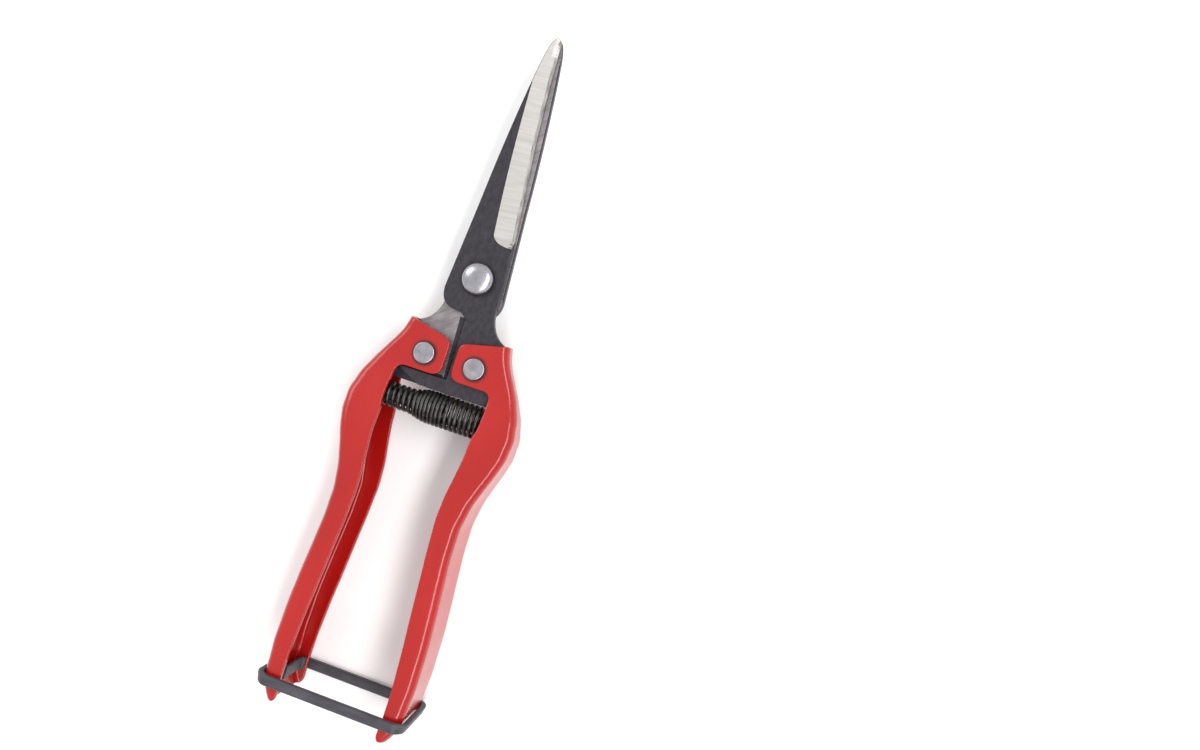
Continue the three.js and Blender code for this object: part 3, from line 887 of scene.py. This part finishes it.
def make_nut(low, high):
    """A hexagon nut whose corners are chamfered by a cone on both faces."""
    flats = 4.0
    bore = PIVOT_R + GAP
    around = 72
    vertices = []
    rings = []
    height = high - low
    for level in (0, 0.12, 0.24, 0.5, 0.76, 0.88, 1):
        start = len(vertices)
        z = low + level * height
        from_face = min(level, 1 - level) * height
        for i in range(around):
            angle = 2 * math.pi * i / around
            sector = (angle + math.pi / 6) % (math.pi / 3) - math.pi / 6
            radius = min(flats / math.cos(sector), flats + 0.05 + from_face * 1.7)
            vertices.append((radius * math.cos(angle + math.pi / 6),
                             radius * math.sin(angle + math.pi / 6), z))
        rings.append(range(start, start + around))
    for level in (1, 0):
        start = len(vertices)
        for i in range(around):
            angle = 2 * math.pi * i / around + math.pi / 6
            vertices.append((bore * math.cos(angle), bore * math.sin(angle), low + level * height))
        rings.append(range(start, start + around))
    faces = []
    for a, b in zip(rings, rings[1:] + rings[:1]):
        for i in range(around):
            j = (i + 1) % around
            faces.append([a[i], a[j], b[j], b[i]])
    nut = new_object("pivot_nut_finished", vertices, faces, [BRIGHT], 25)
    put(nut, "left_half", "bright_steel", "pivot_nut")


def make_rivet(side, body):
    """The flat rivet of one head, its washer and the spacer beside the tang."""
    sign = 1 if side == "right" else -1
    seat = HEAD_HALF_DEPTH + GAP
    washer_r, washer_t = 3.2, 0.5
    spacer_r = 3.4
    head_r, head_t, dish = 2.9, 0.7, 0.06
    head = [(0, seat + head_t - dish), (head_r - 0.95, seat + head_t - dish + 0.01),
            (head_r - 0.6, seat + head_t)]
    head += arc(head_r - 0.28, seat + head_t - 0.28, 0.28, 80, 0, 5)
    head += [(head_r, seat), (RIVET_R, seat)]
    tail_seat = -(HEAD_HALF_DEPTH + 2 * GAP + washer_t)
    tail_r = head_r - 0.5
    tail = [(RIVET_R, tail_seat), (tail_r, tail_seat)]
    tail += arc(tail_r - 0.3, tail_seat - 0.35, 0.3, 0, -80, 5)
    tail += [(0, tail_seat - head_t)]
    profile = (head + tail)[::-1]
    place = (sign * RIVET_X, RIVET_Y, 0)
    rivet = turned_part(f"{side}_rivet_finished", profile, place, BRIGHT)
    put(rivet, body, "bright_steel", f"{side}_rivet")
    washer = ring_profile(HOLE_R, washer_r, -(seat + washer_t), -seat, 0.1)
    put(turned_part(f"{side}_rivet_washer_finished", washer, place, BRIGHT),
        body, "bright_steel", f"{side}_rivet_washer")
    spacer = ring_profile(HOLE_R, spacer_r, -BLADE_T, -GAP, 0.1)
    put(turned_part(f"{side}_tang_spacer_finished", spacer, place, BRUSHED, flip=side == "left"),
        body, "brushed_blade_steel", f"{side}_tang_spacer")


def make_spring_seat(side, body):
    """The seat and prong that hold one end of the spring, turned about X."""
    seat_r, seat_t, prong_r, prong_l = 3.3, 0.9, 1.7, 7.0
    profile = [(0, 0), (seat_r - 0.12, 0), (seat_r, 0.12), (seat_r, seat_t - 0.12),
               (seat_r - 0.12, seat_t), (prong_r + 0.25, seat_t)]
    profile += arc(prong_r + 0.25, seat_t + 0.25, 0.25, 270, 180, 4)
    profile += [(prong_r, prong_l - 0.8)]
    profile += arc(prong_r - 0.8, prong_l - 0.8, 0.8, 0, 90, 6)[1:]
    profile += [(0, prong_l)]
    seat = turned_part(f"{side}_spring_seat_finished", profile, (0, 0, 0), SPRING, segments=40)
    outer_face = SPRING_END_X + GAP + seat_t
    toward_middle = -1 if side == "right" else 1
    center = row((-toward_middle * outer_face, SPRING_Y, 0))
    turn = Matrix.Rotation(toward_middle * math.pi / 2, 4, "Y")
    seat.data.transform(Matrix.Translation(center) @ turn @ Matrix.Translation(-row((0, 0, 0))))
    put(seat, body, "spring_steel", f"{side}_spring_seat")


# ---- spring ----------------------------------------------------------------------------------
# Distance between neighbouring turns, as (x, pitch) pairs along the spring.
COIL_PITCH = [(-SPRING_END_X, 1.1), (-17.5, 1.1), (-16.0, 1.55), (-6.5, 1.55), (-4.5, 1.12),
              (1.0, 1.12), (3.0, 1.42), (16.5, 1.42), (18.0, 1.1), (SPRING_END_X, 1.1)]


def coil_radius(x):
    narrow, wide = 3.0, 4.1
    return narrow + (wide - narrow) * smoothstep(x, -8, -2) * (1 - smoothstep(x, 12, 17))


def coil_pitch(x):
    places = [place for place, _ in COIL_PITCH]
    return float(np.interp(x, places, [pitch for _, pitch in COIL_PITCH]))


def make_spring():
    """Round wire wound on coil_radius at coil_pitch, stretched between the two halves."""
    per_turn, sides = 30, 10
    reach = SPRING_END_X - WIRE_R
    path = []
    x, angle = -reach, 0.0
    while x < reach:
        radius = coil_radius(x)
        path.append(Vector((x, SPRING_Y + radius * math.cos(angle), radius * math.sin(angle))))
        angle += 2 * math.pi / per_turn
        x += coil_pitch(x) / per_turn
    vertices = []
    faces = []
    for i, point in enumerate(path):
        ahead = path[min(i + 1, len(path) - 1)] - path[max(i - 1, 0)]
        tangent = ahead.normalized()
        outward = Vector((0, point.y - SPRING_Y, point.z)).normalized()
        outward = (outward - tangent * outward.dot(tangent)).normalized()
        across = tangent.cross(outward)
        for k in range(sides):
            turn = 2 * math.pi * k / sides
            offset = (outward * math.cos(turn) + across * math.sin(turn)) * VISIBLE_WIRE_R
            vertices.append(tuple(point + offset))
    for i in range(len(path) - 1):
        for k in range(sides):
            a = i * sides + k
            b = i * sides + (k + 1) % sides
            faces.append([a, b, b + sides, a + sides])
    faces.append(list(range(sides))[::-1])
    last = (len(path) - 1) * sides
    faces.append([last + k for k in range(sides)])
    spring = new_object("coil_spring_finished", vertices, faces, [SPRING], 60)
    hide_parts("coil_spring")
    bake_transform(spring)


# ---- band ------------------------------------------------------------------------------------
def strip_section(width, thickness, softness=0.45):
    """Rounded section of the band as (across, out) pairs."""
    points = []
    half_w, half_t = width / 2 - softness, thickness / 2 - softness
    for corner, (sx, sy) in enumerate(((1, 1), (-1, 1), (-1, -1), (1, -1))):
        for k in range(5):
            angle = math.radians(corner * 90 + k * 22.5)
            points.append((sx * half_w + softness * math.cos(angle),
                           sy * half_t + softness * math.sin(angle)))
    return points


def sweep(path, outs, section, closed):
    """Sweeps a section along a path that lies in the XZ plane. outs are the outward directions."""
    vertices = []
    faces = []
    size = len(section)
    for point, out in zip(path, outs):
        for across, lift in section:
            vertices.append(tuple(point + Vector((0, across, 0)) + out * lift))
    count = len(path)
    for i in range(count if closed else count - 1):
        for k in range(size):
            a = i * size + k
            b = i * size + (k + 1) % size
            c = (i + 1) % count * size + k
            d = (i + 1) % count * size + (k + 1) % size
            faces.append([a, b, d, c])
    if not closed:
        faces.append(list(range(size))[::-1])
        faces.append([(count - 1) * size + k for k in range(size)])
    return vertices, faces


def outward_faces(vertices, faces):
    """The faces, all turned over if the closed body they make is inside out."""
    volume = 0.0
    for face in faces:
        a = Vector(vertices[face[0]])
        for j, k in zip(face[1:], face[2:]):
            volume += a.dot(Vector(vertices[j]).cross(Vector(vertices[k])))
    return faces if volume > 0 else [face[::-1] for face in faces]


def hug_taper(vertex, straight_x, side_x):
    """Draws the lower edge of the band's sides in, because the handles narrow to their ends."""
    taper = 0.25
    x, y, z = vertex
    below = BAND_Y + VISIBLE_BAND_WIDTH / 2 - y
    shift = taper * below * smoothstep(abs(x), straight_x, side_x)
    return x - math.copysign(shift, x), y, z


def make_band():
    """The rubber band round both grips."""
    inner_x = along(OUTER_EDGE, BAND_Y + BAND_WIDTH / 2) + BAND_FIT
    inner_z = GRIP_HALF_DEPTH + BAND_FIT
    mid_x, mid_z = inner_x + BAND_T / 2, inner_z + BAND_T / 2
    corner = BEND_R + BAND_T / 2
    path, outs = [], []
    corners = [(1, 1), (-1, 1), (-1, -1), (1, -1)]
    for index, (sx, sz) in enumerate(corners):
        center = Vector((sx * (mid_x - corner), 0, sz * (mid_z - corner)))
        for k in range(13):
            angle = math.radians(index * 90 + k * 7.5)
            out = Vector((math.cos(angle), 0, math.sin(angle)))
            path.append(center + out * corner + Vector((0, BAND_Y, 0)))
            outs.append(out)
        next_x, next_z = corners[(index + 1) % 4]
        ahead = Vector((next_x * (mid_x - corner), 0, next_z * (mid_z - corner)))
        ahead += outs[-1] * corner + Vector((0, BAND_Y, 0))
        start = path[-1].copy()
        pieces = 14 if index % 2 == 0 else 6
        for k in range(1, pieces):
            path.append(start.lerp(ahead, k / pieces))
            outs.append(outs[-1])
    vertices, faces = sweep(path, outs, strip_section(VISIBLE_BAND_WIDTH, BAND_T), True)
    vertices = [hug_taper(vertex, mid_x - corner, mid_x) for vertex in vertices]
    faces = outward_faces(vertices, faces)
    band = new_object("closing_band_finished", vertices, faces, [RUBBER], 60)
    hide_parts("closing_band")
    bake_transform(band)


def make_band_tail():
    """The end of the band, tucked into the left channel along its web and its back flange."""
    low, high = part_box("band_tail")
    low, high = low / MM - PIVOT, high / MM - PIVOT
    thickness = 1.1
    radius = 1.2
    web_x = low.x + thickness / 2
    floor_z = low.z + thickness / 2
    path = [Vector((web_x, 0, high.z - 0.5 - k * (high.z - 0.5 - floor_z - radius) / 8)) for k in range(9)]
    outs = [Vector((-1, 0, 0))] * 9
    for k in range(1, 9):
        angle = math.radians(180 + k * 90 / 8)
        out = Vector((math.cos(angle), 0, math.sin(angle)))
        path.append(Vector((web_x + radius, 0, floor_z + radius)) + out * radius)
        outs.append(out)
    for k in range(1, 4):
        path.append(Vector((web_x + radius + k * (high.x - web_x - radius - 0.1) / 3, 0, floor_z)))
        outs.append(Vector((0, 0, -1)))
    middle_y = (low.y + high.y) / 2
    path = [point + Vector((0, middle_y, 0)) for point in path]
    vertices, faces = sweep(path, outs, strip_section(high.y - low.y, thickness, 0.4), False)
    faces = outward_faces(vertices, faces)
    tail = new_object("band_tail_finished", vertices, faces, [RUBBER], 60)
    put(tail, "left_half", "band_rubber", "band_tail")


# ---- stage -----------------------------------------------------------------------------------
def make_stage():
    """A plain pale floor under the tool."""
    mesh = bpy.data.meshes.new("floor")
    reach = 3.0
    mesh.from_pydata([(-reach, -reach, 0), (reach, -reach, 0), (reach, reach, 0), (-reach, reach, 0)],
                     [], [(0, 1, 2, 3)])
    floor = bpy.data.objects.new("floor", mesh)
    bpy.context.scene.collection.objects.link(floor)
    paper = Finish("floor_paper", (0.95, 0.95, 0.95), 0.75, 0.0, 0.2)
    grain = paper.noise(paper.stretched((30, 30, 30)), detail=3)
    paper.color(paper.ramp(grain, [(0.3, (0.94, 0.94, 0.94)), (0.7, (0.96, 0.96, 0.96))]))
    mesh.materials.append(paper.material)


def make_light(name, position, target, size, power):
    data = bpy.data.lights.new(name, "AREA")
    data.shape = "RECTANGLE"
    data.size, data.size_y = size
    data.energy = power
    light = bpy.data.objects.new(name, data)
    bpy.context.scene.collection.objects.link(light)
    light.location = position
    direction = Vector(target) - Vector(position)
    light.rotation_euler = direction.to_track_quat("-Z", "Y").to_euler()


def make_lights():
    world = bpy.data.worlds.new("studio")
    bpy.context.scene.world = world
    world.use_nodes = True
    background = world.node_tree.nodes["Background"]
    background.inputs["Color"].default_value = (1, 1, 1, 1)
    background.inputs["Strength"].default_value = 0.95
    make_light("key", (-0.9, 0.45, 0.75), (0, 0, 0), (0.6, 0.6), 4)
    make_light("strip", (0.4, -0.05, 0.68), (0, 0, 0), (1.2, 0.18), 5.5)
    bpy.context.scene.view_settings.view_transform = "Standard"


def make_camera():
    """Looks down on the front face from a little to the right, the tips leaning right."""
    position = Vector((0.0669, 0.0098, 0.2596))
    target = Vector((0.0394, 0.0126, 0.0114))
    roll = math.radians(-18.29)
    lens = 28
    data = bpy.data.cameras.new("camera")
    data.lens = lens
    data.sensor_width = 36
    data.clip_start = 0.01
    camera = bpy.data.objects.new("camera", data)
    bpy.context.scene.collection.objects.link(camera)
    back = (position - target).normalized()
    up = (Vector((0, 1, 0)) - back * back.y).normalized()
    side = up.cross(back)
    turn = Matrix((side, up, back)).transposed().to_4x4() @ Matrix.Rotation(-roll, 4, "Z")
    camera.matrix_world = Matrix.Translation(position) @ turn
    bpy.context.scene.camera = camera


# ---- assembly --------------------------------------------------------------------------------
make_camera()
make_lights()
make_stage()
make_blade("front_blade_finished", "right_half", False)
make_blade("rear_blade_finished", "left_half", True)
make_handle("right_handle_finished", "right_half", False)
make_handle("left_handle_finished", "left_half", True)
make_pivot()
for side_name, body_name in (("right", "right_half"), ("left", "left_half")):
    make_rivet(side_name, body_name)
    make_spring_seat(side_name, body_name)
make_spring()
make_band()
make_band_tail()
